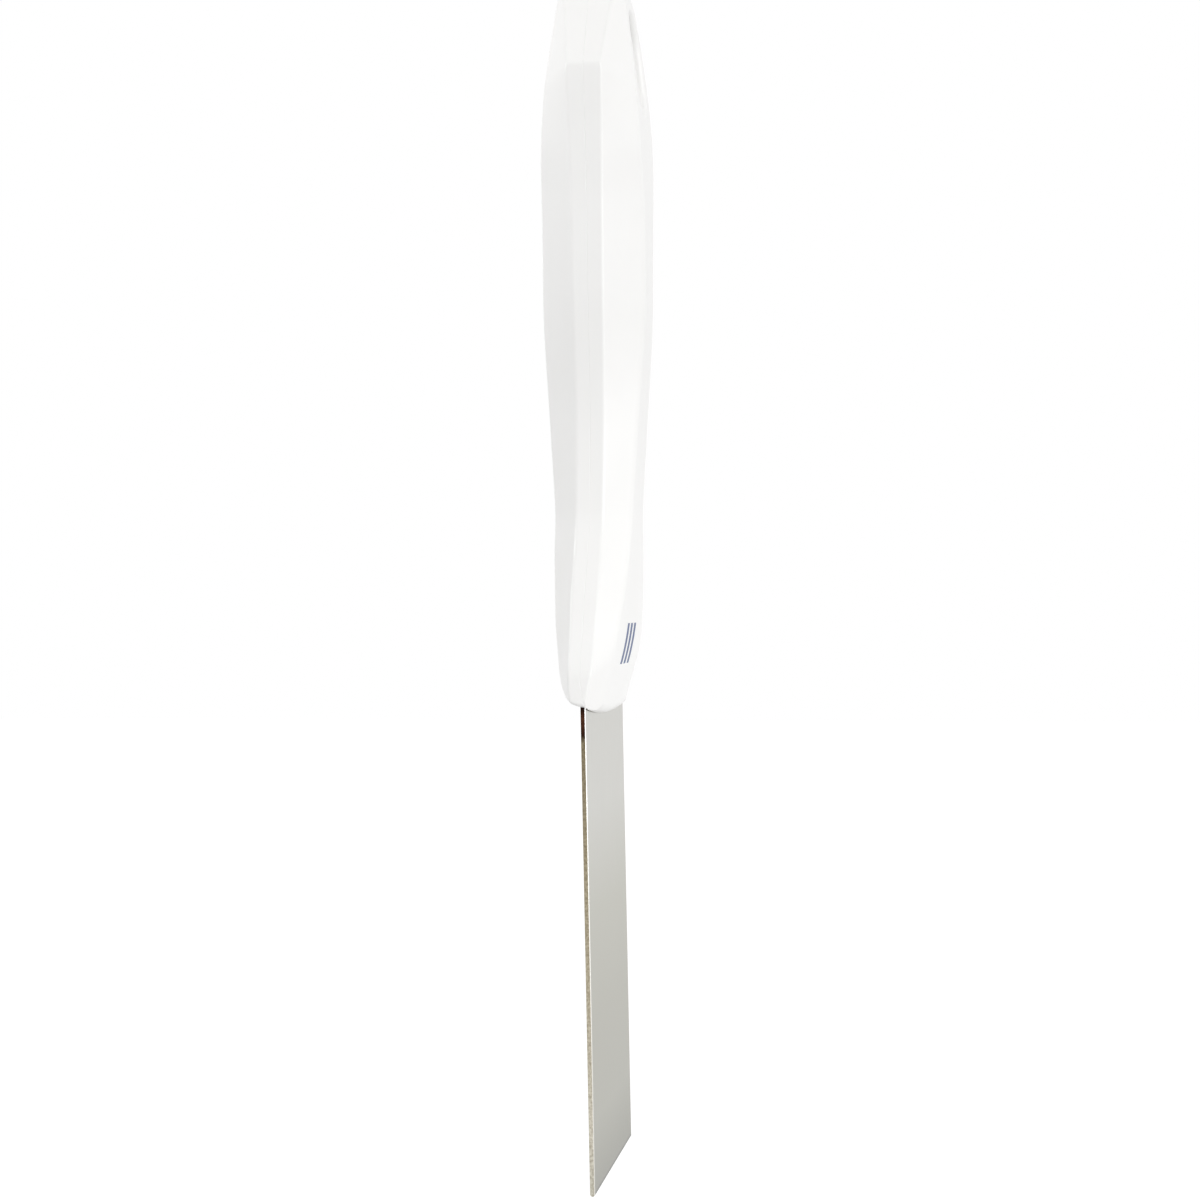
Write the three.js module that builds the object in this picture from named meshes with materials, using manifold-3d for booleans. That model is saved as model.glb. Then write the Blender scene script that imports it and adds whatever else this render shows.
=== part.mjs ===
// Hand scraper: a 50 mm stainless blade held between the two shells of a faceted moulded handle.
//
// Frame, in millimetres: X across the blade, Y from the front face (-Y) to the back face (+Y), Z
// along the tool with the blade pointing down. The origin is the centre of the hanging eye. While
// the parts are made, heights are counted from the tip of the blade, and the last group moves them
// to the eye.

import * as THREE from 'three';
import { ParametricGeometry } from 'three/addons/geometries/ParametricGeometry.js';
import { mergeVertices } from 'three/addons/utils/BufferGeometryUtils.js';
import Module from 'manifold-3d';

const wasm = await Module();
wasm.setup();

// ---- Driving dimensions -----------------------------------------------------------------

// Blade
const bladeWidth = 50;
const bladeThickness = 1;
const bladeExposed = 92; // from the tip to the handle's mouth
const bladeSeat = 5; // full width carried on inside the mouth
const bladeForward = 0.4; // from the parting plane to the middle of the blade, at the mouth
const bladeLean = 0.87; // degrees, forward from the mouth down
const edgeBevel = 0.35; // ground on both sides of the scraping edge
const tangWidth = 14;
const tangTop = 66; // above the mouth

// Handle, as a whole
const handleLength = 143;
const mouthCheek = 1.4; // handle beyond the blade at each side of the mouth
const mouthCorner = 1.4; // radius of the two lower corners
const lipDrop = 1.6; // how far the middle of the mouth bulges down
const crownWidth = 36.8; // where the end starts to taper in
const crownBelowTop = 19.4;
const endTaper = 26; // degrees between the tapering sides and the vertical
const endRound = 2.5; // rounding of the end towards the front and back faces

// Front lip, which slopes in to the blade
const lipSlopeTop = 11.7; // above the mouth
const lipSlopeDepth = 5.9; // half-depth where the slope starts
const lipEdgeRise = 1.1; // above the mouth, where the slope rounds into the edge
const lipEdgeDepth = 3.1;
const lipDepth = 1.3; // at the lowest line of the edge

// Back, which is rounded under in a quarter ellipse about a line inside the front shell
const underRise = 7.5; // its centre above the mouth
const underRound = 7.4; // its height
const underForward = 1.2; // its centre in front of the parting plane

// Hanging eye
const eyeWidth = 12.5;
const eyeLength = 19.5;
const eyeBelowTop = 15.75; // from the end to the centre of the eye
const eyeChamfer = 1;
const eyeWall = 2.6;

// Inside
const wall = 2.4;
const ribThickness = 1.6;
const ribPitch = 15;
const clampHeight = 20; // solid block that grips the blade, above the mouth
const bossRadius = 4.5;

// Dowel pins through the tang: one in the clamp block, one near the top of the tang, one between
const pinDiameter = 4;
const pinLength = 8;
const pinBelowClamp = 6;
const pinBelowTang = 10;

// The parting line steps forward at the mouth, so that the back shell closes round the blade's edges
const partingStep = 0.8;
const partingStepLow = 1; // above the mouth
const partingStepHigh = 5.5;

// Clearances
const partingGap = 0.3;
const bladeClearance = 0.3;
const pinClearance = 0.3;

// ---- Heights that follow ----------------------------------------------------------------

const mouth = bladeExposed;
const mouthWidth = bladeWidth + 2 * mouthCheek;
const top = mouth + handleLength;
const eye = top - eyeBelowTop;
const crown = top - crownBelowTop;
const reach = 60; // larger than any half-width or half-depth, for cutting tools

const lowPin = mouth + clampHeight - pinBelowClamp;
const highPin = mouth + tangTop - pinBelowTang;
const pinHeights = { lower: lowPin, middle: (lowPin + highPin) / 2, upper: highPin };

// The handle's section is an octagon, given at heights from the mouth to the end. halfWidth and
// halfDepth are its overall half sizes, side is half the depth of its flat sides, and flat is half
// the width of its front and back faces.
const sections = [
  { z: mouth - 4, halfWidth: mouthWidth / 2 + 0.4, halfDepth: 5.1, side: 1.9, flat: 18 },
  { z: mouth + 6, halfWidth: mouthWidth / 2, halfDepth: 5.4, side: 2.3, flat: 17.9 },
  { z: mouth + 14, halfWidth: 22.9, halfDepth: 6.1, side: 2.4, flat: 17 },
  { z: mouth + 22, halfWidth: 19.7, halfDepth: 7, side: 2.6, flat: 13 },
  { z: mouth + 30, halfWidth: 15.6, halfDepth: 7.5, side: 2.55, flat: 10.2 },
  { z: mouth + 38, halfWidth: 13, halfDepth: 7.8, side: 2.65, flat: 7.4 },
  { z: mouth + 54, halfWidth: 11.9, halfDepth: 8.8, side: 2.7, flat: 6.7 },
  { z: mouth + 82, halfWidth: 14.2, halfDepth: 10.3, side: 3, flat: 5.8 },
  { z: top - 45, halfWidth: 15.1, halfDepth: 10.3, side: 3.05, flat: 6.8 },
  { z: top - 33, halfWidth: 16.4, halfDepth: 9.9, side: 3.2, flat: 9.6 },
  { z: crown, halfWidth: crownWidth / 2, halfDepth: 8.75, side: 3.55, flat: 10.7 },
  { z: top + 1, halfWidth: crownWidth / 2 + 1, halfDepth: 5.9, side: 4.2, flat: 11.5 },
];
const ringSpacing = 3.5; // of the lofted skin

// Gem-cut facets, as a point and an outward direction in the quarter with +X and +Y
const shoulderFacet = {
  point: new THREE.Vector3(crownWidth / 2, 3.5, crown - 1),
  normal: new THREE.Vector3(0.535, 0.825, 0.179),
};
const lipFacet = {
  point: new THREE.Vector3(mouthWidth / 2 - 0.2, 2.5, mouth + 7.3),
  normal: new THREE.Vector3(0.233, 0.93, -0.285),
};

// ---- Solids -----------------------------------------------------------------------------

// A closed geometry as a manifold-3d solid: vertices merged, collapsed triangles left out.
function solid(geometry) {
  const bare = geometry.clone();
  bare.deleteAttribute('normal');
  bare.deleteAttribute('uv');
  const merged = mergeVertices(bare, 1e-4);
  const index = Array.from(merged.index.array);
  const kept = [];
  for (let i = 0; i < index.length; i += 3) {
    const [a, b, c] = index.slice(i, i + 3);
    if (a !== b && b !== c && c !== a) kept.push(a, b, c);
  }
  return new wasm.Manifold(new wasm.Mesh({
    numProp: 3,
    vertProperties: new Float32Array(merged.attributes.position.array),
    triVerts: new Uint32Array(kept),
  }));
}

function box(lowX, highX, lowY, highY, lowZ, highZ) {
  const geometry = new THREE.BoxGeometry(highX - lowX, highY - lowY, highZ - lowZ);
  geometry.translate((lowX + highX) / 2, (lowY + highY) / 2, (lowZ + highZ) / 2);
  return solid(geometry);
}

// A shape drawn in X and Z, standing between two values of Y.
function acrossDepth(shape, lowY, highY) {
  const geometry = new THREE.ExtrudeGeometry(shape, {
    depth: highY - lowY, bevelEnabled: false, curveSegments: 16,
  });
  geometry.rotateX(Math.PI / 2);
  geometry.translate(0, highY, 0);
  return solid(geometry);
}

// A shape drawn in Y and Z, running across X, centred.
function acrossWidth(shape, width) {
  const geometry = new THREE.ExtrudeGeometry(shape, {
    depth: width, bevelEnabled: false, curveSegments: 12,
  });
  geometry.applyMatrix4(new THREE.Matrix4().makeBasis(
    new THREE.Vector3(0, 1, 0), new THREE.Vector3(0, 0, 1), new THREE.Vector3(1, 0, 0)));
  geometry.translate(-width / 2, 0, 0);
  return geometry;
}

// A round bar along Y, centred on the parting plane.
function barAlongDepth(radius, length, z) {
  const geometry = new THREE.CylinderGeometry(radius, radius, length, 24);
  geometry.translate(0, 0, z);
  return solid(geometry);
}

// Everything on the outer side of a facet, as a cutting tool: the facet is moved in by inset and
// mirrored to the side of the handle that x and y name by their signs.
function beyond(facet, x, y, inset) {
  const mirror = new THREE.Vector3(x, y, 1);
  const normal = facet.normal.clone().multiply(mirror).normalize();
  const point = facet.point.clone().multiply(mirror).addScaledVector(normal, -inset);
  const geometry = new THREE.BoxGeometry(4 * reach, 4 * reach, 2 * reach);
  geometry.translate(0, 0, reach);
  const turn = new THREE.Quaternion().setFromUnitVectors(new THREE.Vector3(0, 0, 1), normal);
  geometry.applyQuaternion(turn);
  geometry.translate(point.x, point.y, point.z);
  return solid(geometry);
}

function join(solids) {
  return solids.reduce((sum, next) => sum.add(next));
}

// ---- Handle -----------------------------------------------------------------------------

// One measure of the section at height z: a smooth curve through the sections that never overshoots them.
function measure(key, z) {
  const last = sections.length - 2;
  let i = 0;
  while (i < last && z > sections[i + 1].z) i += 1;
  const slope = (a) => (sections[a + 1][key] - sections[a][key]) / (sections[a + 1].z - sections[a].z);
  const tangent = (a) => {
    if (a === 0 || a === sections.length - 1) return slope(Math.min(a, last));
    const before = slope(a - 1);
    const after = slope(a);
    return before * after <= 0 ? 0 : (2 * before * after) / (before + after);
  };
  const span = sections[i + 1].z - sections[i].z;
  const t = (z - sections[i].z) / span;
  return sections[i][key] * (1 + 2 * t) * (1 - t) ** 2 + tangent(i) * span * t * (1 - t) ** 2
    + sections[i + 1][key] * t * t * (3 - 2 * t) + tangent(i + 1) * span * t * t * (t - 1);
}

// The eight corners of the section, moved in by inset, counter-clockwise from above.
function corners(z, inset) {
  const bevelInset = inset * Math.tan(Math.PI / 8);
  const x = measure('halfWidth', z) - inset;
  const y = measure('halfDepth', z) - inset;
  const side = measure('side', z) - bevelInset;
  const flat = measure('flat', z) - bevelInset;
  return [
    [x, -side], [x, side], [flat, y], [-flat, y],
    [-x, side], [-x, -side], [-flat, -y], [flat, -y],
  ];
}

// The skin through all the sections, closed at both ends by a point in the middle.
function handleSkin(inset) {
  const low = sections[0].z;
  const high = sections[sections.length - 1].z;
  const rings = Math.round((high - low) / ringSpacing);
  const stacks = rings + 2;
  const geometry = new ParametricGeometry((u, v, target) => {
    const row = Math.round(v * stacks);
    const ring = Math.min(Math.max(row - 1, 0), rings);
    const z = low + ((high - low) * ring) / rings;
    const [x, y] = row === 0 || row === stacks ? [0, 0] : corners(z, inset)[Math.round(u * 8) % 8];
    target.set(x, y, z);
  }, 8, stacks);
  return solid(geometry);
}

// Front outline: rounded lower corners, a slightly bulging lip, and tapering sides that meet in a
// round end.
function frontOutline(inset) {
  const half = mouthWidth / 2 - inset;
  const low = mouth + inset;
  const taper = THREE.MathUtils.degToRad(endTaper);
  const crownHalf = crownWidth / 2 - inset / Math.cos(taper);
  const lineOffset = (top - inset - crown) * Math.sin(taper);
  const radius = (crownHalf * Math.cos(taper) - lineOffset) / (1 - Math.sin(taper));
  const shape = new THREE.Shape();
  shape.moveTo(half, low + mouthCorner);
  shape.lineTo(half, crown);
  shape.lineTo(crownHalf, crown);
  shape.absarc(0, top - inset - radius, radius, taper, Math.PI - taper, false);
  shape.lineTo(-crownHalf, crown);
  shape.lineTo(-half, crown);
  shape.lineTo(-half, low + mouthCorner);
  shape.absarc(mouthCorner - half, low + mouthCorner, mouthCorner, Math.PI, 1.5 * Math.PI, false);
  shape.quadraticCurveTo(0, low - 2 * lipDrop, half - mouthCorner, low);
  shape.absarc(half - mouthCorner, low + mouthCorner, mouthCorner, 1.5 * Math.PI, 2 * Math.PI, false);
  return shape;
}

// Side outline: the front lip slopes in to the blade, the back is rounded under, and the end is
// rounded to both faces.
function sideOutline() {
  const endDepth = measure('halfDepth', top);
  const below = mouth - lipDrop - 1;
  const underDepth = measure('halfDepth', mouth + underRise) + underForward;
  const shape = new THREE.Shape();
  shape.moveTo(-lipDepth, below);
  shape.lineTo(0, below);
  shape.absellipse(-underForward, mouth + underRise, underDepth, underRound,
    -Math.acos(underForward / underDepth), 0, false, 0);
  shape.lineTo(reach, mouth + underRise);
  shape.lineTo(reach, top - 2 * endRound);
  shape.lineTo(endDepth + 0.7, top - 2 * endRound);
  shape.quadraticCurveTo(endDepth, top, endDepth - endRound, top + 0.5);
  shape.lineTo(endRound - endDepth, top + 0.5);
  shape.quadraticCurveTo(-endDepth, top, -endDepth - 0.7, top - 2 * endRound);
  shape.lineTo(-reach, top - 2 * endRound);
  shape.lineTo(-reach, mouth + lipSlopeTop);
  shape.lineTo(-lipSlopeDepth, mouth + lipSlopeTop);
  shape.lineTo(-lipEdgeDepth, mouth + lipEdgeRise);
  shape.quadraticCurveTo(-lipEdgeDepth + 0.6, mouth - lipDrop + 0.4, -lipDepth, mouth - lipDrop - 0.1);
  return shape;
}

// Four shoulders under the round end, and two facets at the front of the mouth's corners.
function facetCuts(inset) {
  const cuts = [];
  for (const x of [-1, 1]) {
    for (const y of [-1, 1]) cuts.push(beyond(shoulderFacet, x, y, inset));
    cuts.push(beyond(lipFacet, x, -1, inset));
  }
  return join(cuts);
}

// The hanging eye's outline around height z, widened by extra all round.
function eyeShape(z, extra) {
  const radius = eyeWidth / 2 + extra;
  const straight = (eyeLength - eyeWidth) / 2;
  const shape = new THREE.Shape();
  shape.absarc(0, z + straight, radius, 0, Math.PI, false);
  shape.absarc(0, z - straight, radius, Math.PI, 2 * Math.PI, false);
  return shape;
}

// The eye, with a chamfer that follows each of the sloping faces.
function eyeCut() {
  const tools = [acrossDepth(eyeShape(eye, 0), -reach, reach)];
  const lower = measure('halfDepth', eye - eyeLength / 2);
  const upper = measure('halfDepth', eye + eyeLength / 2);
  const slope = Math.atan2(lower - upper, eyeLength);
  for (const y of [-1, 1]) {
    const geometry = new THREE.ExtrudeGeometry(eyeShape(0, 0), {
      depth: eyeChamfer, curveSegments: 16, bevelSegments: 1,
      bevelThickness: 2 * eyeChamfer, bevelSize: 2 * eyeChamfer,
    });
    geometry.translate(0, 0, eyeChamfer);
    geometry.rotateX(y * (slope - Math.PI / 2));
    geometry.translate(0, y * (lower + upper) / 2, eye);
    tools.push(solid(geometry));
  }
  return join(tools);
}

function handleBody(inset) {
  return handleSkin(inset)
    .intersect(acrossDepth(frontOutline(inset), -reach, reach))
    .subtract(facetCuts(inset));
}

// The hollow inside both shells: cells between ribs, clear of the clamp block, bosses and the
// eye's wall.
function hollow() {
  const cells = [];
  for (let z = mouth + clampHeight; z < top - wall; z += ribPitch) {
    cells.push(box(-reach, reach, -reach, reach, z, Math.min(z + ribPitch - ribThickness, top - wall)));
  }
  const bosses = Object.values(pinHeights).map((z) => barAlongDepth(bossRadius, 2 * reach, z));
  return handleBody(wall)
    .intersect(join(cells))
    .subtract(join(bosses))
    .subtract(acrossDepth(eyeShape(eye, eyeWall), -reach, reach));
}

// ---- Blade ------------------------------------------------------------------------------

// The part of the blade inside the handle: a seat of full width that slopes in to the tang.
function tangShape(extra) {
  const half = bladeWidth / 2 + extra;
  const tangHalf = tangWidth / 2 + extra;
  const low = mouth - extra;
  const seat = mouth + bladeSeat + extra;
  const shape = new THREE.Shape();
  shape.moveTo(-half, low);
  shape.lineTo(half, low);
  shape.lineTo(half, seat);
  shape.lineTo(tangHalf, seat + half - tangHalf);
  shape.lineTo(tangHalf, mouth + tangTop + extra);
  shape.lineTo(-tangHalf, mouth + tangTop + extra);
  shape.lineTo(-tangHalf, seat + half - tangHalf);
  shape.lineTo(-half, seat);
  return shape;
}

// A round hole or bore at each pin, with its clearance.
function pinHoles(length) {
  const radius = pinDiameter / 2 + pinClearance;
  return join(Object.values(pinHeights).map((z) => barAlongDepth(radius, length, z)));
}

// The blade leans forward from the mouth down, and its scraping edge is ground on both sides.
function bladeBody() {
  const thick = bladeThickness / 2;
  const overlap = bladeThickness / 10;
  const section = new THREE.Shape();
  section.moveTo(-thick, edgeBevel - bladeExposed);
  section.lineTo(edgeBevel - thick, -bladeExposed);
  section.lineTo(thick - edgeBevel, -bladeExposed);
  section.lineTo(thick, edgeBevel - bladeExposed);
  section.lineTo(thick, overlap);
  section.lineTo(-thick, overlap);
  const exposed = acrossWidth(section, bladeWidth);
  exposed.rotateX(-THREE.MathUtils.degToRad(bladeLean));
  exposed.translate(0, -bladeForward, mouth);
  return solid(exposed)
    .add(acrossDepth(tangShape(0), -bladeForward - thick, thick - bladeForward))
    .subtract(pinHoles(2 * (bladeThickness + bladeForward)));
}

// Room for the blade in both shells, open at the mouth.
function bladeSlot() {
  const half = bladeWidth / 2 + bladeClearance;
  const front = -bladeForward - bladeThickness / 2 - bladeClearance;
  const back = bladeThickness / 2 + bladeClearance - bladeForward;
  return acrossDepth(tangShape(bladeClearance), front, back)
    .add(box(-half, half, front, back, mouth - 2 * lipDrop - 1, mouth + bladeSeat));
}

// ---- Shells and pins --------------------------------------------------------------------

const handle = handleBody(0)
  .intersect(solid(acrossWidth(sideOutline(), 2 * reach)))
  .subtract(eyeCut())
  .subtract(hollow())
  .subtract(bladeSlot())
  .subtract(pinHoles(pinLength + 2 * pinClearance));

// The room that one shell may fill, to the front (-1) or the back (1) of the parting line.
function shellRoom(y) {
  const parting = (y * partingGap) / 2;
  const shape = new THREE.Shape();
  shape.moveTo(y * reach, 0);
  shape.lineTo(parting - partingStep, 0);
  shape.lineTo(parting - partingStep, mouth + partingStepLow);
  shape.lineTo(parting, mouth + partingStepHigh);
  shape.lineTo(parting, top + reach);
  shape.lineTo(y * reach, top + reach);
  return solid(acrossWidth(shape, 2 * reach));
}

// ---- Scene graph ------------------------------------------------------------------------

const whitePlastic = { color: 0xf3f3f1, roughness: 0.42, metalness: 0 };
const satinSteel = { color: 0xb9b8b2, roughness: 0.38, metalness: 1 };
const pinSteel = { color: 0xa9a9a6, roughness: 0.3, metalness: 1 };

const scraper = new THREE.Group();
scraper.name = 'hand_scraper';
scraper.position.z = -eye;

function addPart(name, body, finish) {
  const { vertProperties, triVerts } = body.getMesh();
  const geometry = new THREE.BufferGeometry();
  geometry.setAttribute('position', new THREE.BufferAttribute(new Float32Array(vertProperties), 3));
  geometry.setIndex(new THREE.BufferAttribute(new Uint32Array(triVerts), 1));
  geometry.computeVertexNormals();
  const part = new THREE.Mesh(geometry, new THREE.MeshStandardMaterial(finish));
  part.name = name;
  scraper.add(part);
}

addPart('blade', bladeBody(), satinSteel);
addPart('front_shell', handle.intersect(shellRoom(-1)), whitePlastic);
addPart('back_shell', handle.intersect(shellRoom(1)), whitePlastic);

for (const [place, z] of Object.entries(pinHeights)) {
  addPart(`tang_pin_${place}`, barAlongDepth(pinDiameter / 2, pinLength, z), pinSteel);
}

export default scraper;
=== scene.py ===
# A hand scraper: a satin steel blade held in a faceted white moulded handle with a hanging eye.
#
# Lengths are in millimetres until a mesh is made, and heights are counted from the tip of the blade.
# The part's own frame has its origin at the centre of the hanging eye: X across the blade, -Y the front.

import math

import bmesh
import bpy
import numpy as np
from mathutils import Matrix, Vector


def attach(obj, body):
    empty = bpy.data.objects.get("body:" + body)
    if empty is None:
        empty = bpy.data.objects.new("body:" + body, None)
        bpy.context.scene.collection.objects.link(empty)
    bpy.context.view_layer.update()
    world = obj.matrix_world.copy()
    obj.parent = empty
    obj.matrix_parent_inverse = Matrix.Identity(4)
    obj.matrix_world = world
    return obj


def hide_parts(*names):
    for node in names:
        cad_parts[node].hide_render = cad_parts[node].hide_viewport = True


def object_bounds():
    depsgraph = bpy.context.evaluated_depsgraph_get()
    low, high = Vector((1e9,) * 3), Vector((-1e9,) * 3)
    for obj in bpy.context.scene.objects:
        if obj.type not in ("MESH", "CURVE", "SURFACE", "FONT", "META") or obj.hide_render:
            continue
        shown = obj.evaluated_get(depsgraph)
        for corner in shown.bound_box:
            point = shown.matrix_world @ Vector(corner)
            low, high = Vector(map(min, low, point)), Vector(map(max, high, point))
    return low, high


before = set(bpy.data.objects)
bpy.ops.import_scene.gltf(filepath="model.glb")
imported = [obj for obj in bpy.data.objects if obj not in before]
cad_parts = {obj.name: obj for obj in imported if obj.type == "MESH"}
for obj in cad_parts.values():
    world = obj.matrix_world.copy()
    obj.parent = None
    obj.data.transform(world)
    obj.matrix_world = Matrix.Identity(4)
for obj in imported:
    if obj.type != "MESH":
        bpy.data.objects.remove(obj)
cad_low, cad_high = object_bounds()
scene = bpy.context.scene
MM = 0.001

# ---- Driving dimensions, as in the solid model ---------------------------------------------------

BLADE_HALF = 25
BLADE_THICK = 1
BLADE_FORWARD = 0.4  # from the parting plane to the middle of the blade, at the mouth
BLADE_LEAN = math.radians(0.87)  # forward, from the mouth down
SEAT = 5  # full width carried on inside the mouth
TANG_HALF = 7
TANG_TOP = 66
FRONT_CORNER_ROUND = 0.18  # rounded corner round the front face; its colour carries a painted highlight
BACK_WORN = 0.05  # the much smaller corner round the back face
EDGE_BEVEL = 0.35  # ground on both sides of the scraping edge
CLEARANCE = 0.3
PIN_RADIUS = 2
PIN_LENGTH = 8
PIN_RISES = (14, 35, 56)  # above the mouth
PARTING_STEP = 0.8  # the parting line's step to the front of the blade, at the mouth

MOUTH = 92
TOP = MOUTH + 143
CROWN = TOP - 19.4
CROWN_HALF = 18.4
MOUTH_HALF = 26.4
MOUTH_CORNER = 1.4
LIP_DROP = 1.6  # how far the middle of the mouth bulges down
LIP_SLOPE_RISE = 11.7  # above the mouth, where the front lip starts to slope in
LIP_SLOPE_DEPTH = 5.9  # of the front face, at that height
LIP_EDGE_RISE = 1.1  # above the mouth, near the foot of the slope
LIP_EDGE_DEPTH = 3.1  # of the slope, at that height
UNDER_RISE = 7.5  # above the mouth, the centre of the curve that rounds the back under
UNDER_ROUND = 7.4  # the height of that curve
UNDER_FORWARD = 1.2  # its centre in front of the parting plane
END_TAPER = math.radians(26)
STEP_LOW = MOUTH + 1
STEP_HIGH = MOUTH + 5.5
EYE = TOP - 15.75
EYE_RADIUS = 6.25
EYE_STRAIGHT = 3.5  # half the straight length of the eye's sides
EYE_RIM = 1.1  # rounding of the eye's edge

# Height, half width, half depth, half depth of the flat sides, half width of the front and back faces.
SECTIONS = np.array([
    (MOUTH - 4, MOUTH_HALF + 0.4, 5.1, 1.9, 18),
    (MOUTH + 6, MOUTH_HALF, 5.4, 2.3, 17.9),
    (MOUTH + 14, 22.9, 6.1, 2.4, 17),
    (MOUTH + 22, 19.7, 7, 2.6, 13),
    (MOUTH + 30, 15.6, 7.5, 2.55, 10.2),
    (MOUTH + 38, 13, 7.8, 2.65, 7.4),
    (MOUTH + 54, 11.9, 8.8, 2.7, 6.7),
    (MOUTH + 82, 14.2, 10.3, 3, 5.8),
    (TOP - 45, 15.1, 10.3, 3.05, 6.8),
    (TOP - 33, 16.4, 9.9, 3.2, 9.6),
    (CROWN, CROWN_HALF, 8.75, 3.55, 10.7),
    (TOP + 1, CROWN_HALF + 1, 5.9, 4.2, 11.5),
])

# Gem-cut facets: a point as (x, depth, height) and an outward direction
SHOULDER_POINT = (CROWN_HALF, 3.5, CROWN - 1)
SHOULDER_NORMAL = (0.535, 0.825, 0.179)
LIP_POINT = (MOUTH_HALF - 0.2, 2.5, MOUTH + 7.3)
LIP_NORMAL = (0.233, 0.93, -0.285)

# Roundings of the moulded edges
SIDE_ROUND = 0.3
FACE_ROUND = 0.5
CROWN_ROUND = 0.2
LIP_ROUND = 1.8
END_ROUND = 2.2
GROOVE = 0.035  # depth and half width of the fine line where the two shells meet
STEP_FADE = 3.0  # depth over which the parting line's step dies away


# ---- The handle's skin as a distance -------------------------------------------------------------

def rounded(a, b, radius):
    """The larger of two distances, with the edge where they meet rounded."""
    corner = np.hypot(np.maximum(a + radius, 0), np.maximum(b + radius, 0))
    return np.minimum(-radius, np.maximum(a, b)) + corner


def measure(column, h):
    """One measure of the section at height h: a smooth curve that never overshoots the sections."""
    heights = SECTIONS[:, 0]
    values = SECTIONS[:, column]
    slope = np.diff(values) / np.diff(heights)
    product = slope[:-1] * slope[1:]
    inner = np.zeros_like(product)
    np.divide(2 * product, slope[:-1] + slope[1:], out=inner, where=product > 0)
    tangent = np.concatenate([slope[:1], inner, slope[-1:]])
    i = np.clip(np.searchsorted(heights, h) - 1, 0, len(heights) - 2)
    span = heights[i + 1] - heights[i]
    t = (h - heights[i]) / span
    return (values[i] * (1 + 2 * t) * (1 - t) ** 2 + tangent[i] * span * t * (1 - t) ** 2
            + values[i + 1] * t * t * (3 - 2 * t) + tangent[i + 1] * span * t * t * (t - 1))


def end_outline(x, h):
    """Distance beyond the tapering sides and the round end, seen from the front."""
    radius = end_radius()
    rise = h - (TOP - radius)
    line = x * math.cos(END_TAPER) + rise * math.sin(END_TAPER) - radius
    return np.where(rise > x * math.tan(END_TAPER), np.hypot(x, rise) - radius, line)


def end_radius():
    """The radius of the round end, which the tapering sides run into."""
    sine = math.sin(END_TAPER)
    return (CROWN_HALF * math.cos(END_TAPER) - (TOP - CROWN) * sine) / (1 - sine)


def mouth_outline(x, h):
    """Distance beyond the bulging lip and its round corners, seen from the front."""
    inner = MOUTH_HALF - MOUTH_CORNER
    lip = MOUTH - LIP_DROP * (1 - (x / inner) ** 2)
    middle = (lip - h) / np.hypot(1, 2 * LIP_DROP * x / inner ** 2)
    corner = np.hypot(np.maximum(x - inner, 0), np.maximum(MOUTH + MOUTH_CORNER - h, 0)) - MOUTH_CORNER
    return np.where(x < inner, middle, corner)


def sloping_lip(y, h):
    """Distance in front of the slope that brings the front shell in to the blade."""
    slope = (LIP_SLOPE_DEPTH - LIP_EDGE_DEPTH) / (LIP_SLOPE_RISE - LIP_EDGE_RISE)
    return (y - LIP_SLOPE_DEPTH - slope * (h - MOUTH - LIP_SLOPE_RISE)) / math.hypot(1, slope)


def rounded_under(y, h, half_depth):
    """Distance behind the back face, which is rounded under at the mouth."""
    deep = half_depth + UNDER_FORWARD
    across = np.maximum(y + UNDER_FORWARD, 0) / deep
    down = np.maximum(MOUTH + UNDER_RISE - h, 0) / UNDER_ROUND
    return (np.hypot(across, down) - 1) * deep


def plane(x, y, h, point, normal):
    """Distance beyond a plane through a point, given as (x, y, h)."""
    length = math.sqrt(sum(n * n for n in normal))
    return sum(n * (v - p) for n, v, p in zip(normal, (x, y, h), point)) / length


def skin(x, y, h, side):
    """Distance outside one half of the handle, whose faces look towards side (-1 front, 1 back)."""
    x = np.abs(x)
    y = side * y
    half_width, half_depth, flank, flat = (measure(column, h) for column in (1, 2, 3, 4))
    end = end_outline(x, h)
    mouth = mouth_outline(x, h)
    wall = np.maximum(rounded(x - half_width, end, CROWN_ROUND), mouth)
    slant = np.hypot(half_depth - flank, half_width - flat)
    bevel = ((x - half_width) * (half_depth - flank) + (y - flank) * (half_width - flat)) / slant
    shoulder = plane(x, y, h, SHOULDER_POINT, SHOULDER_NORMAL)
    bevel = rounded(bevel, shoulder, CROWN_ROUND)
    if side < 0:
        face = rounded(y - half_depth, sloping_lip(y, h), FACE_ROUND)
    else:
        face = rounded_under(y, h, half_depth)
    body = rounded(rounded(wall, bevel, SIDE_ROUND), face, FACE_ROUND)
    body = np.maximum(body, rounded(face, end, END_ROUND))
    if side < 0:
        corner = plane(x, y, h, LIP_POINT, LIP_NORMAL)
        body = np.maximum(rounded(body, corner, SIDE_ROUND), rounded(face, mouth, LIP_ROUND))
    return body + np.maximum(GROOVE - y, 0)


def skin_normals(points, side):
    """The skin's outward directions, from its distance a little to either side of each point."""
    little = 0.02
    normals = np.empty_like(points)
    for axis in range(3):
        shift = np.zeros(3)
        shift[axis] = little
        normals[:, axis] = skin(*(points + shift).T, side) - skin(*(points - shift).T, side)
    return normals / np.linalg.norm(normals, axis=1, keepdims=True)


def parting_shift(h):
    """How far back the parting line moves at height h; it is negative, so it moves forward."""
    return -PARTING_STEP * np.clip((STEP_HIGH - h) / (STEP_HIGH - STEP_LOW), 0, 1)


def step(y, h, side):
    """Where a point of one shell goes when its parting edge steps forward at the mouth."""
    return y + parting_shift(h) * np.maximum(1 - side * y / STEP_FADE, 0)


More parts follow.
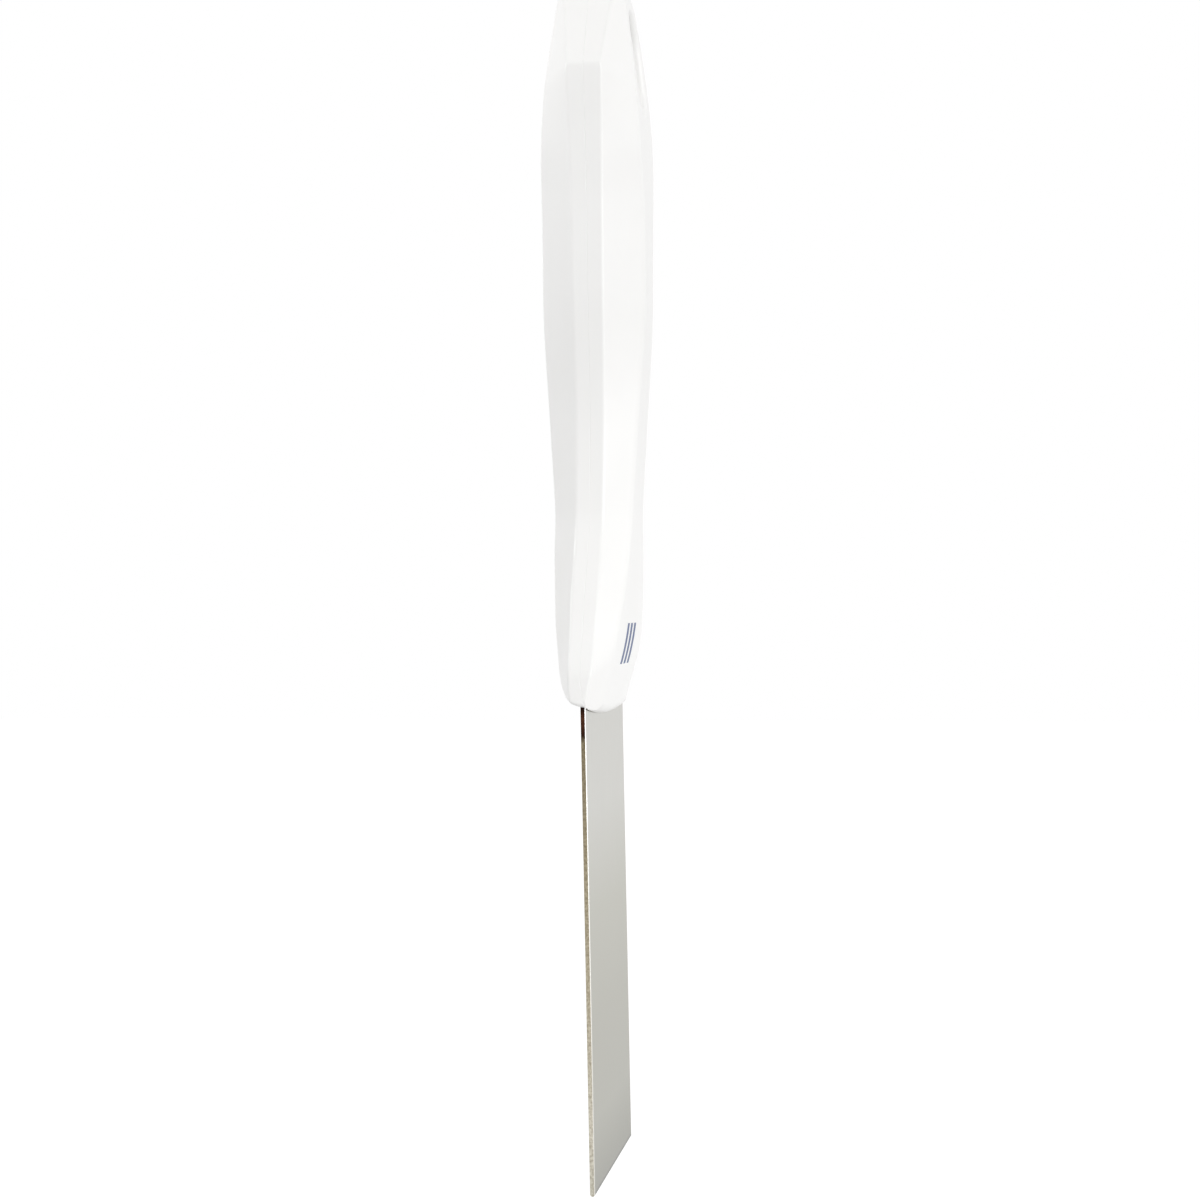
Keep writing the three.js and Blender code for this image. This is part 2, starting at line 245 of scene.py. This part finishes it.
def unstep(y, h, side):
    """The other way round: where a point was before the step."""
    shift = parting_shift(h)
    before = (y - shift) / (1 - side * shift / STEP_FADE)
    return np.where(side * before < STEP_FADE, before, y)


def eye_outline(x, h):
    """Distance outside the eye's outer edge, seen from the front."""
    rise = np.maximum(np.abs(h - EYE) - EYE_STRAIGHT, 0)
    return np.hypot(x, rise) - EYE_RADIUS - EYE_RIM


def eye_inward(x, h):
    """The direction, in X and height, from the eye's edge towards its middle line."""
    rise = np.sign(h - EYE) * np.maximum(np.abs(h - EYE) - EYE_STRAIGHT, 0)
    length = np.hypot(x, rise)
    return -x / length, -rise / length


# ---- The handle's mesh ---------------------------------------------------------------------------

# Spacing of the points beside an edge, so that its rounding is smooth
FINE = np.array([GROOVE / 2, GROOVE, 0.14, 0.3, 0.6])
FAN = 10  # height of the rings that turn round the lip, above the mouth
LAST_TURN = math.radians(87)  # of a turning ring; the rings at the parting edge follow it
RIM_STEPS = 7  # round the eye's edge
PIN_SIDES = 24
MERGED = 1e-4  # points closer than this are one


def half_section(h):
    """Points round half of the section at height h, from one parting edge to the other, y outward."""
    half_width, half_depth, flank, flat = (float(measure(column, h)) for column in (1, 2, 3, 4))
    corners = np.array([
        (half_width, 0), (half_width, flank), (flat, half_depth),
        (-flat, half_depth), (-half_width, flank), (-half_width, 0),
    ])
    between = (3, 14, 20, 14, 3)
    points = []
    for start, end, count in zip(corners, corners[1:], between):
        length = np.linalg.norm(end - start)
        middle = np.linspace(FINE[-1], length - FINE[-1], count + 2)[1:-1]
        along = np.concatenate([[0], FINE, middle, length - FINE[::-1]])
        points.append(start + (end - start) * along[:, None] / length)
    points.append(corners[-1:])
    return np.concatenate(points).T


def end_rings(h, reach, spread, lean, steps):
    """Rays for the rings that turn from the section at height h to the parting edge of one end.

    reach is the height gained (negative at the mouth), spread scales X at the parting edge, and
    lean is the share of X where the rays start.
    """
    x, y = half_section(h)
    start_y = np.minimum(y, GROOVE)
    rings = []
    for turn in np.linspace(0, LAST_TURN, steps):
        across = x * (math.cos(turn) + spread * (1 - math.cos(turn))) - lean * x
        out = (y - start_y) * math.cos(turn)
        rings.append((lean * x, start_y, across, out, np.full_like(x, reach * math.sin(turn)), h))
    for depth in (GROOVE, GROOVE / 2, 0):
        across = x * spread - lean * x
        rings.append((lean * x, np.minimum(y, depth), across, 0 * y, np.full_like(x, reach), h))
    return rings


def body_rings(heights):
    """Rays for level rings round the body, from its middle line towards its section's points."""
    rings = []
    for h in heights:
        x, y = half_section(h)
        start_y = np.minimum(y, GROOVE)
        rings.append((0 * x, start_y, x, y - start_y, 0 * x, h))
    return rings


def ring_heights(low, high):
    """Heights of the body's rings: closer together at both ends, where the facets are cut, and
    closest at the crown's crease. No ring may touch the eye's lowest point."""
    close, wide = 0.5, 1.07
    waist_low, waist_high = MOUTH + 24, CROWN - 6
    return np.concatenate([
        np.arange(low, waist_low, close),
        np.arange(waist_low, waist_high, wide),
        np.arange(waist_high, CROWN - 0.7, close),
        CROWN + np.array([-0.6, -0.3, -0.12, 0, 0.12, 0.3, 0.6]),
        np.arange(CROWN + 1, high, close),
    ])


def crossing(is_outside, shape, limit, halvings):
    """The distances, up to a limit, at which the skin is crossed, found by halving."""
    near = np.zeros(shape)
    far = np.full(shape, limit)
    for _ in range(halvings):
        middle = (near + far) / 2
        outside = is_outside(middle)
        far = np.where(outside, middle, far)
        near = np.where(outside, near, middle)
    return near


def cast(rings, side):
    """Where each ray meets the skin, as an array of rings by columns by (x, y, h)."""
    start_x, start_y, across, out, up = (np.array([ring[i] for ring in rings]) for i in range(5))
    start_h = np.array([ring[5] for ring in rings])[:, None] + 0 * start_x
    length = np.sqrt(across ** 2 + out ** 2 + up ** 2)

    def along(t):
        x = start_x + across / length * t
        y = side * (start_y + out / length * t)
        return x, y, start_h + up / length * t

    met = crossing(lambda t: skin(*along(t), side) > 0, length.shape, limit=50.0, halvings=44)
    return np.stack(along(met), axis=-1)


def handle_grid(side):
    """The skin as rings of points: fans at the lip and the round end, level rings between them."""
    low = MOUTH + FAN
    high = TOP - end_radius()
    bottom = end_rings(low, reach=-FAN, spread=1, lean=0.8, steps=40)[::-1]
    body = body_rings(ring_heights(low + 0.5, high - 0.2))
    top = end_rings(high, reach=end_radius(), spread=0.9, lean=0, steps=44)
    return cast(bottom + body + top, side)


def cut_eye(bm, side):
    """Opens the eye in the skin and lines it: a rounded rim, then a wall to the parting plane."""
    away = {v: float(eye_outline(v.co.x, v.co.z)) for v in bm.verts}
    least = 0.02  # share of an edge left on either side of the outline
    edge = []
    for e in [e for e in bm.edges if away[e.verts[0]] * away[e.verts[1]] < 0]:
        a, b = e.verts
        share = min(max(away[a] / (away[a] - away[b]), least), 1 - least)
        new = bmesh.utils.edge_split(e, a, share)[1]
        in_x, in_h = eye_inward(new.co.x, new.co.z)
        off = float(eye_outline(new.co.x, new.co.z))
        new.co.x += in_x * off
        new.co.z += in_h * off
        edge.append(new)
    bmesh.ops.connect_verts(bm, verts=edge)
    inside = [f for f in bm.faces if eye_outline(*f.calc_center_median().xz) < 0]
    bmesh.ops.delete(bm, geom=inside, context="FACES")
    edge.sort(key=lambda v: math.atan2(v.co.z - EYE, v.co.x))
    turns = np.linspace(0, math.pi / 2, RIM_STEPS + 1)[1:]
    steps = [(EYE_RIM * math.sin(turn), EYE_RIM * (1 - math.cos(turn))) for turn in turns]
    before = edge
    for inward, down in [*steps, (EYE_RIM, None)]:
        ring = []
        for v in edge:
            in_x, in_h = eye_inward(v.co.x, v.co.z)
            y = 0 if down is None else v.co.y - side * down
            ring.append(bm.verts.new((v.co.x + in_x * inward, y, v.co.z + in_h * inward)))
        for i, corner in enumerate(ring):
            bm.faces.new((before[i - 1], before[i], corner, ring[i - 1]))
        before = ring


def to_mesh(bm, name):
    """A mesh in metres in the part's frame, from a bmesh in millimetres above the tip."""
    bmesh.ops.recalc_face_normals(bm, faces=bm.faces)
    for v in bm.verts:
        v.co = (v.co.x * MM, v.co.y * MM, (v.co.z - EYE) * MM)
    mesh = bpy.data.meshes.new(name)
    bm.to_mesh(mesh)
    bm.free()
    return mesh


def new_object(name, mesh):
    made = bpy.data.objects.new(name, mesh)
    scene.collection.objects.link(made)
    return made


def prism(outline, low_y, high_y):
    """A bmesh of an outline in X and height, standing between two values of Y."""
    bm = bmesh.new()
    rings = [[bm.verts.new((x, y, h)) for x, h in outline] for y in (low_y, high_y)]
    for i in range(len(outline)):
        bm.faces.new((rings[0][i - 1], rings[0][i], rings[1][i], rings[1][i - 1]))
    bm.faces.new(rings[0])
    bm.faces.new(rings[1])
    return bm


def cut(mesh, cutters):
    """The mesh less each of the cutting meshes."""
    body = new_object("body", mesh)
    tools = [new_object("tool", cutter) for cutter in cutters]
    for tool in tools:
        modifier = body.modifiers.new("cut", "BOOLEAN")
        modifier.operation = "DIFFERENCE"
        modifier.solver = "EXACT"
        modifier.object = tool
    shown = body.evaluated_get(bpy.context.evaluated_depsgraph_get())
    result = bpy.data.meshes.new_from_object(shown)
    for made in [body, *tools]:
        old = made.data
        bpy.data.objects.remove(made)
        bpy.data.meshes.remove(old)
    return result


def tang_outline(extra):
    """The part of the blade inside the handle, larger by extra all round."""
    half = BLADE_HALF + extra
    tang = TANG_HALF + extra
    seat = MOUTH + SEAT + extra
    slope = seat + half - tang
    crest = MOUTH + TANG_TOP + extra
    right = [(half, seat), (tang, slope), (tang, crest)]
    return [(half, MOUTH), *right, *((-x, h) for x, h in right[::-1]), (-half, MOUTH)]


def pin_cutters(length):
    """Cutting tools for the pins, across the parting plane."""
    radius = PIN_RADIUS + CLEARANCE
    angles = [math.tau * i / PIN_SIDES for i in range(PIN_SIDES)]
    cutters = []
    for rise in PIN_RISES:
        outline = [(radius * math.cos(a), MOUTH + rise + radius * math.sin(a)) for a in angles]
        cutters.append(to_mesh(prism(outline, -length / 2, length / 2), "pin room"))
    return cutters


def blade_room():
    """Cutting tools for the blade's slot and the pins' bores."""
    half = BLADE_HALF + CLEARANCE
    thick = BLADE_THICK / 2 + CLEARANCE
    below = MOUTH - 4  # clear of the lip
    outline = [(half, below), *tang_outline(CLEARANCE)[1:-1], (-half, below)]
    slot = prism(outline, -BLADE_FORWARD - thick, thick - BLADE_FORWARD)
    return [to_mesh(slot, "slot"), *pin_cutters(PIN_LENGTH + 2 * CLEARANCE)]


def split_at(bm, height):
    """Adds an edge wherever a face crosses a height."""
    parts = [*bm.verts, *bm.edges, *bm.faces]
    bmesh.ops.bisect_plane(bm, geom=parts, dist=MERGED, plane_co=(0, 0, height), plane_no=(0, 0, 1))


def add_sheet(bm, rows):
    """The faces between the vertices of a grid."""
    for low, high in zip(rows, rows[1:]):
        for i in range(len(low) - 1):
            bm.faces.new((low[i], low[i + 1], high[i + 1], high[i]))


def handle_half(name, side):
    """One moulded shell: its skin, the eye, the parting plane and the room for blade and pins."""
    grid = handle_grid(side)
    bm = bmesh.new()
    add_sheet(bm, [[bm.verts.new(point) for point in ring] for ring in grid])
    bmesh.ops.remove_doubles(bm, verts=bm.verts, dist=MERGED)
    cut_eye(bm, side)
    rim = [e for e in bm.edges if e.is_boundary]
    bmesh.ops.triangle_fill(bm, edges=rim, use_beauty=True, normal=(0, -side, 0))
    for height in (STEP_LOW, STEP_HIGH):
        split_at(bm, height)
    for v in bm.verts:
        v.co.y = step(v.co.y, v.co.z, side)
    mesh = cut(to_mesh(bm, name), blade_room())
    mesh.name = name
    set_normals(mesh, side)
    return new_object(name, mesh)


NEAR_SKIN = 0.1  # furthest the middle of one of the skin's faces lies from the skin
SAME_WAY = 0.8  # least cosine between the skin's normal and its face's
STRAIGHT_OUT = 0.999  # least share of Y in the normal of the parting plane
RIM_START = 0.05  # sine of the rim's first turn, below which the skin's own normal holds


def set_normals(mesh, side):
    """Smooth normals over the skin and the eye's rim, flat ones on the parting plane and pockets."""
    vertex = np.empty(len(mesh.vertices) * 3)
    mesh.vertices.foreach_get("co", vertex)
    vertex = vertex.reshape(-1, 3) / MM + (0, 0, EYE)
    corner = np.empty(len(mesh.loops), int)
    mesh.loops.foreach_get("vertex_index", corner)
    flat = np.empty(len(mesh.polygons) * 3)
    mesh.polygons.foreach_get("normal", flat)
    centre = np.empty(len(mesh.polygons) * 3)
    mesh.polygons.foreach_get("center", centre)
    sizes = np.empty(len(mesh.polygons), int)
    mesh.polygons.foreach_get("loop_total", sizes)
    flat = np.repeat(flat.reshape(-1, 3), sizes, axis=0)
    centre = np.repeat(centre.reshape(-1, 3) / MM + (0, 0, EYE), sizes, axis=0)
    for points in (vertex, centre):
        points[:, 1] = unstep(points[:, 1], points[:, 2], side)
    at = vertex[corner]
    smooth = skin_normals(vertex, side)[corner]
    near_skin = np.abs(skin(*centre.T, side)) < NEAR_SKIN
    on_skin = near_skin & ((smooth * flat).sum(axis=1) > SAME_WAY)
    inner = eye_outline(centre[:, 0], centre[:, 2]) < 0
    sine = np.clip(-eye_outline(at[:, 0], at[:, 2]) / EYE_RIM, 0, 1)
    in_x, in_h = eye_inward(at[:, 0], at[:, 2])
    rim = np.stack([sine * in_x, side * np.sqrt(1 - sine ** 2), sine * in_h], axis=1)
    rim = np.where((sine < RIM_START)[:, None], smooth, rim)
    parting = np.abs(flat[:, 1]) > STRAIGHT_OUT
    normals = np.where((inner & ~parting)[:, None], rim, np.where(on_skin[:, None], smooth, flat))
    mesh.shade_smooth()
    mesh.normals_split_custom_set(normals)


# ---- Printed bars --------------------------------------------------------------------------------

BAR_MIDDLES = (-4.6, 0, 4.6)
BAR_WIDTH = 2.4
BAR_LOW = MOUTH + 8
BAR_TALL = 8
BAR_SLANT = 1.8  # how much further to +X the top of a bar is than its bottom
BAR_PROUD = 0.03  # of the handle's face
BAR_SUNK = 0.05  # into it


def face_depth(x, h):
    """How far the handle's front stands in front of the parting plane."""
    return crossing(lambda y: skin(x, -y, h, -1) > 0, x.shape, limit=12.0, halvings=30)


def rim_of(rows):
    """The outermost vertices of a grid of vertices, in order round it."""
    right = [row[-1] for row in rows[1:]]
    left = [row[0] for row in rows[-2:0:-1]]
    return rows[0] + right + rows[-1][-2::-1] + left


def printed_bars():
    """Three slanted bars printed on the front of the handle, just above the mouth."""
    bm = bmesh.new()
    share, rise = np.meshgrid(np.linspace(0, 1, 5), np.linspace(0, 1, 9))
    h = BAR_LOW + BAR_TALL * rise
    for middle in BAR_MIDDLES:
        x = middle + BAR_WIDTH * (share - 0.5) + BAR_SLANT * (rise - 0.5)
        y = -face_depth(x, h)
        sheets = []
        for shift in (-BAR_PROUD, BAR_SUNK):
            rows = zip(x, y + shift, h)
            sheets.append([[bm.verts.new(point) for point in zip(*row)] for row in rows])
        for sheet in sheets:
            add_sheet(bm, sheet)
        outer, inner = (rim_of(sheet) for sheet in sheets)
        for i in range(len(outer)):
            bm.faces.new((outer[i - 1], outer[i], inner[i], inner[i - 1]))
    return new_object("printed_bars", to_mesh(bm, "printed_bars"))


# ---- Blade ---------------------------------------------------------------------------------------

def blade():
    """The blade with its tang, bevelled flat, then leant forward below the mouth."""
    thick = BLADE_THICK / 2
    bm = prism([(BLADE_HALF, 0), *tang_outline(0)[1:-1], (-BLADE_HALF, 0)], -thick, thick)
    bmesh.ops.recalc_face_normals(bm, faces=bm.faces)
    tip = [e for e in bm.edges if max(abs(v.co.z) for v in e.verts) < 1e-6 and e.calc_length() > 2]
    bmesh.ops.bevel(bm, geom=tip, offset=EDGE_BEVEL, segments=1, affect="EDGES", profile=0.5)
    outer = [e for e in bm.edges if min(v.co.z for v in e.verts) > EDGE_BEVEL - 1e-3]
    sharp = [e for e in outer if e.calc_face_angle(0) > math.radians(50)]  # not the tip's bevels
    front = [e for e in sharp if max(v.co.y for v in e.verts) < 0]
    back = [e for e in sharp if min(v.co.y for v in e.verts) > 0]
    bmesh.ops.bevel(bm, geom=front, offset=FRONT_CORNER_ROUND, segments=2, affect="EDGES", profile=0.5)
    bmesh.ops.bevel(bm, geom=back, offset=BACK_WORN, segments=1, affect="EDGES", profile=0.5)
    split_at(bm, MOUTH)
    for v in bm.verts:
        y = v.co.y
        drop = max(MOUTH - v.co.z, 0)
        if drop:
            v.co.z = MOUTH - drop * math.cos(BLADE_LEAN) - y * math.sin(BLADE_LEAN)
            y = y * math.cos(BLADE_LEAN) - drop * math.sin(BLADE_LEAN)
        v.co.y = y - BLADE_FORWARD
    mesh = cut(to_mesh(bm, "steel_blade"), pin_cutters(2 * (BLADE_THICK + BLADE_FORWARD)))
    mesh.name = "steel_blade"
    return new_object("steel_blade", mesh)


# ---- Materials -----------------------------------------------------------------------------------

SIDE_DEPTH = 0.01  # how far in from the blade's sides they take the side edges' tones

# The blade's tones against the height above its tip: its faces (as a share of the steel's own
# colour) with painted shade that darkens them towards the tip, the front corners with a painted
# highlight, and the side edges, brownish steel with painted shade that darkens them towards the mouth.
# Painted shade: the faces darken towards the tip, darkest across the ground bevel at the tip.
FACE_SHADE_TONES = (
    (0, (0.16, 0.16, 0.15)), (0.5, (0.2, 0.2, 0.19)), (0.9, (0.47, 0.47, 0.43)),
    (6, (0.54, 0.54, 0.495)), (14, (0.64, 0.64, 0.59)), (33, (0.67, 0.665, 0.61)),
    (53, (0.76, 0.76, 0.7)), (73, (0.955, 0.955, 0.94)), (92, (1, 1, 0.99)),
)
# Painted highlight along the rounded front corners, darker towards the tip as painted shade.
CORNER_HIGHLIGHT_TONES = (
    (0, (0.62, 0.61, 0.57)), (40, (0.75, 0.74, 0.7)), (75, (0.95, 0.95, 0.93)), (92, (1, 1, 0.99)),
)
# Brownish side edges left by shearing, with painted shade: darker towards the mouth, nearly black just
# below it.
SHEARED_AND_SHADE_TONES = (
    (0, (0.6, 0.58, 0.5)), (12, (0.66, 0.63, 0.54)), (39, (0.5, 0.45, 0.34)),
    (65, (0.38, 0.33, 0.23)), (80, (0.3, 0.255, 0.175)), (85.5, (0.26, 0.22, 0.14)),
    (87, (0.03, 0.012, 0.008)), (90, (0.09, 0.035, 0.02)), (92, (0.02, 0.01, 0.008)),
)


def material(name):
    made = bpy.data.materials.new(name)
    made.use_nodes = True
    nodes = made.node_tree.nodes
    return made, nodes, made.node_tree.links, nodes["Principled BSDF"]


def object_place(nodes):
    return nodes.new("ShaderNodeTexCoord").outputs["Object"]


def noise(nodes, links, place, scale, detail=2):
    """A cloudy value between 0 and 1; scale is about how many clouds fit in one unit of place."""
    node = nodes.new("ShaderNodeTexNoise")
    node.inputs["Scale"].default_value = scale
    node.inputs["Detail"].default_value = detail
    links.new(place, node.inputs["Vector"])
    return node.outputs["Fac"]


def colour_ramp(nodes, links, value, stops):
    """A colour that changes with a value, from rising pairs of (value, colour)."""
    node = nodes.new("ShaderNodeValToRGB")
    elements = node.color_ramp.elements
    for i, (at, colour) in enumerate(stops):
        if i == 0:
            stop = elements[0]
        elif i == len(stops) - 1:
            stop = elements[len(elements) - 1]
        else:
            stop = elements.new(at)
        stop.position = at
        stop.color = (*colour, 1)
    links.new(value, node.inputs["Fac"])
    return node.outputs["Color"]


def by_height(tones):
    """Tones given against height, as stops against the share of the blade's length outside."""
    return [(h / MOUTH, colour) for h, colour in tones]


def vary_roughness(nodes, links, shader, value, low, high):
    node = nodes.new("ShaderNodeMapRange")
    node.inputs["To Min"].default_value = low
    node.inputs["To Max"].default_value = high
    links.new(value, node.inputs["Value"])
    links.new(node.outputs["Result"], shader.inputs["Roughness"])


def add_bump(nodes, links, shader, value, strength, distance):
    node = nodes.new("ShaderNodeBump")
    node.inputs["Strength"].default_value = strength
    node.inputs["Distance"].default_value = distance * MM
    links.new(value, node.inputs["Height"])
    links.new(node.outputs["Normal"], shader.inputs["Normal"])


def mix(nodes, links, kind, first, second, factor=None):
    node = nodes.new("ShaderNodeMix")
    node.data_type = "RGBA"
    node.blend_type = kind
    node.inputs["Factor"].default_value = 1
    if factor:
        links.new(factor, node.inputs["Factor"])
    links.new(first, node.inputs["A"])
    links.new(second, node.inputs["B"])
    return node.outputs["Result"]


def maths(nodes, links, operation, first, second=None, number=None):
    """A calculation on a socket and, where it takes two, another socket or a number."""
    node = nodes.new("ShaderNodeMath")
    node.operation = operation
    links.new(first, node.inputs[0])
    if second:
        links.new(second, node.inputs[1])
    if number is not None:
        node.inputs[1].default_value = number
    return node.outputs["Value"]


def moulded_plastic():
    made, nodes, links, shader = material("white_moulded_plastic")
    shader.inputs["Specular IOR Level"].default_value = 0.5
    place = object_place(nodes)
    cloud = noise(nodes, links, place, scale=45, detail=3)
    white = ((0.3, (0.865, 0.862, 0.85)), (0.7, (0.885, 0.882, 0.872)))
    links.new(colour_ramp(nodes, links, cloud, white), shader.inputs["Base Color"])
    vary_roughness(nodes, links, shader, cloud, low=0.3, high=0.38)
    grain = noise(nodes, links, place, scale=2600)
    add_bump(nodes, links, shader, grain, strength=0.25, distance=0.04)
    return made


def satin_steel(name, tone, roughness):
    """Steel with a fine grain, drawn out along the tool."""
    made, nodes, links, shader = material(name)
    shader.inputs["Metallic"].default_value = 1
    shader.inputs["Specular Tint"].default_value = (0.8, 0.8, 0.79, 1)  # less glare edge-on
    stretch = nodes.new("ShaderNodeMapping")
    stretch.inputs["Scale"].default_value = (3000, 3000, 60)
    links.new(object_place(nodes), stretch.inputs["Vector"])
    grain = noise(nodes, links, stretch.outputs["Vector"], scale=1, detail=3)
    tones = [(at, [share * c for c in tone]) for at, share in ((0.25, 0.95), (0.75, 1.03))]
    links.new(colour_ramp(nodes, links, grain, tones), shader.inputs["Base Color"])
    vary_roughness(nodes, links, shader, grain, low=roughness - 0.04, high=roughness + 0.05)
    add_bump(nodes, links, shader, grain, strength=0.15, distance=0.02)
    return made


def finish_blade(made):
    """Adds painted light to satin steel: painted shade that darkens the faces towards the tip, a painted
    highlight on the front corners, and brownish, grainy side edges left by shearing, with painted shade
    that darkens them towards the mouth, nearly black just below it."""
    nodes, links = made.node_tree.nodes, made.node_tree.links
    colour = nodes["Principled BSDF"].inputs["Base Color"]
    place = object_place(nodes)
    axes = nodes.new("ShaderNodeSeparateXYZ")
    links.new(place, axes.inputs["Vector"])
    height = nodes.new("ShaderNodeMapRange")
    height.inputs["From Min"].default_value = -EYE * MM
    height.inputs["From Max"].default_value = (MOUTH - EYE) * MM
    links.new(axes.outputs["Z"], height.inputs["Value"])
    along = height.outputs["Result"]
    across = maths(nodes, links, "ABSOLUTE", axes.outputs["X"])
    on_corner = maths(nodes, links, "GREATER_THAN", across, number=(BLADE_HALF - FRONT_CORNER_ROUND) * MM)
    on_side = maths(nodes, links, "GREATER_THAN", across, number=(BLADE_HALF - SIDE_DEPTH) * MM)
    # Painted shade: the faces darken towards the tip, in place of darker reflections there.
    face_shade = colour_ramp(nodes, links, along, by_height(FACE_SHADE_TONES))
    face = mix(nodes, links, "MULTIPLY", colour.links[0].from_socket, face_shade)
    # Painted highlight on the front corners.
    corner_highlight = colour_ramp(nodes, links, along, by_height(CORNER_HIGHLIGHT_TONES))
    face = mix(nodes, links, "MIX", face, corner_highlight, on_corner)
    # The side edges: brownish steel with painted shade that darkens them towards the mouth.
    sheared_and_shade = colour_ramp(nodes, links, along, by_height(SHEARED_AND_SHADE_TONES))
    speck = noise(nodes, links, place, scale=1800, detail=4)
    mottle = colour_ramp(nodes, links, speck, ((0.35, (0.62, 0.6, 0.56)), (0.65, (1, 1, 1))))
    sheared_and_shade = mix(nodes, links, "MULTIPLY", sheared_and_shade, mottle)
    links.new(mix(nodes, links, "MIX", face, sheared_and_shade, on_side), colour)


def print_ink():
    made, nodes, links, shader = material("blue_ink")
    cloud = noise(nodes, links, object_place(nodes), scale=1500)
    blue = ((0, (0.03, 0.06, 0.17)), (1, (0.05, 0.09, 0.23)))
    links.new(colour_ramp(nodes, links, cloud, blue), shader.inputs["Base Color"])
    shader.inputs["Roughness"].default_value = 0.45
    return made


def set_material(piece, made):
    piece.data.materials.clear()
    piece.data.materials.append(made)


# ---- Pieces --------------------------------------------------------------------------------------

plastic = moulded_plastic()
steel = satin_steel("satin_steel", tone=(0.72, 0.713, 0.69), roughness=0.3)

for name, side, node in (("handle_front", -1, "front_shell"), ("handle_back", 1, "back_shell")):
    half = handle_half(name, side)
    set_material(half, plastic)
    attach(half, "root")
    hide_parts(node)

finish_blade(steel)
plate = blade()
set_material(plate, steel)
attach(plate, "root")
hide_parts("blade")

bars = printed_bars()
set_material(bars, print_ink())
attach(bars, "root")

pin_steel = satin_steel("pin_steel", tone=(0.5, 0.5, 0.49), roughness=0.26)
for place in ("lower", "middle", "upper"):
    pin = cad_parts[f"tang_pin_{place}"]
    set_material(pin, pin_steel)


# ---- Floor, light and camera ---------------------------------------------------------------------

def seen_by_eye(nodes, links):
    """A socket that is 1 for rays from the camera and for reflected or refracted ones, else 0."""
    path = nodes.new("ShaderNodeLightPath")
    total = path.outputs["Is Camera Ray"]
    for kind in ("Is Glossy Ray", "Is Transmission Ray"):
        total = maths(nodes, links, "ADD", total, path.outputs[kind])
        total.node.use_clamp = True
    return total


def add_lamp(name, kind, power, towards):
    """The object that holds a new lamp; towards points from what it lights to the lamp."""
    lamp = bpy.data.lights.new(name, kind)
    lamp.energy = power
    holder = new_object(name, lamp)
    holder.rotation_mode = "QUATERNION"
    holder.rotation_quaternion = towards.to_track_quat("Z", "Y")
    return holder


FLOOR_DROP = 0.12  # metres below the tip
FLOOR_HALF = 4.0  # metres
FLOOR_GLOW = 0.4  # so that the floor is as white as the world to the eye
WORLD_LEVEL = 0.69  # how much the world lights; to the eye it is plain white
SPOT_RADIUS = 0.05  # metres

bm = bmesh.new()
bmesh.ops.create_grid(bm, x_segments=8, y_segments=8, size=FLOOR_HALF)
for v in bm.verts:
    v.co.z = cad_low.z - FLOOR_DROP
floor_mesh = bpy.data.meshes.new("floor")
bm.to_mesh(floor_mesh)
bm.free()
floor = new_object("floor", floor_mesh)
made, nodes, links, shader = material("pale_floor")
shader.inputs["Base Color"].default_value = (0.85, 0.85, 0.85, 1)
shader.inputs["Roughness"].default_value = 0.9
shader.inputs["Specular IOR Level"].default_value = 0
shader.inputs["Emission Color"].default_value = (1, 1, 1, 1)
glow = maths(nodes, links, "MULTIPLY", seen_by_eye(nodes, links), number=FLOOR_GLOW)
links.new(glow, shader.inputs["Emission Strength"])
set_material(floor, made)

world = bpy.data.worlds.new("world")
scene.world = world
world.use_nodes = True
nodes, links = world.node_tree.nodes, world.node_tree.links
level = nodes.new("ShaderNodeMapRange")
level.inputs["To Min"].default_value = WORLD_LEVEL
level.inputs["To Max"].default_value = 1.0
links.new(seen_by_eye(nodes, links), level.inputs["Value"])
links.new(level.outputs["Result"], nodes["Background"].inputs["Strength"])
nodes["Background"].inputs["Color"].default_value = (1, 1, 1, 1)

# Sun lamps: name, direction towards the lamp, strength, angle in degrees
for name, towards, strength, softness in (
    ("key", (-0.6, -0.78, 0.22), 1.26, 35),
    ("fill", (-0.25, 0.93, 0.3), 0.25, 50),
):
    sun = add_lamp(name, "SUN", strength, Vector(towards))
    sun.data.angle = math.radians(softness)

# Soft spots: name, place in metres, height aimed at, watts, cone in degrees
for name, source, aim, watts, cone in (
    ("end_light", (-0.15, 0.6, 0.2), 225, 7.5, 11),
    ("shoulder_light", (-0.15, 0.55, 0.22), 101, 7, 8),
    ("lip_light", (-0.32, -0.5, -0.2), 91, 4.5, 6.5),
):
    target = Vector((0, 0, (aim - EYE) * MM))
    spot = add_lamp(name, "SPOT", watts, Vector(source) - target)
    spot.location = source
    spot.data.spot_size = math.radians(cone)
    spot.data.spot_blend = 1
    spot.data.shadow_soft_size = SPOT_RADIUS

CAMERA_AZIMUTH = math.radians(-81.4)
CAMERA_AWAY = 467  # from the part's upright axis
CAMERA_HEIGHT = 112.6  # above the tip
CAMERA_ROLL = -0.005  # radians
LENS = 70.3

lens = bpy.data.cameras.new("camera")
lens.sensor_width = 36
lens.lens = LENS
camera = new_object("camera", lens)
back = Vector((math.sin(CAMERA_AZIMUTH), -math.cos(CAMERA_AZIMUTH), 0))
across = Vector((math.cos(CAMERA_AZIMUTH), math.sin(CAMERA_AZIMUTH), 0))
up = Vector((0, 0, 1))
right = across * math.cos(CAMERA_ROLL) + up * math.sin(CAMERA_ROLL)
upward = up * math.cos(CAMERA_ROLL) - across * math.sin(CAMERA_ROLL)
place = Matrix((right, upward, back)).transposed().to_4x4()
place.translation = back * CAMERA_AWAY * MM + up * (CAMERA_HEIGHT - EYE) * MM
camera.matrix_world = place
scene.camera = camera
scene.view_settings.view_transform = "Standard"
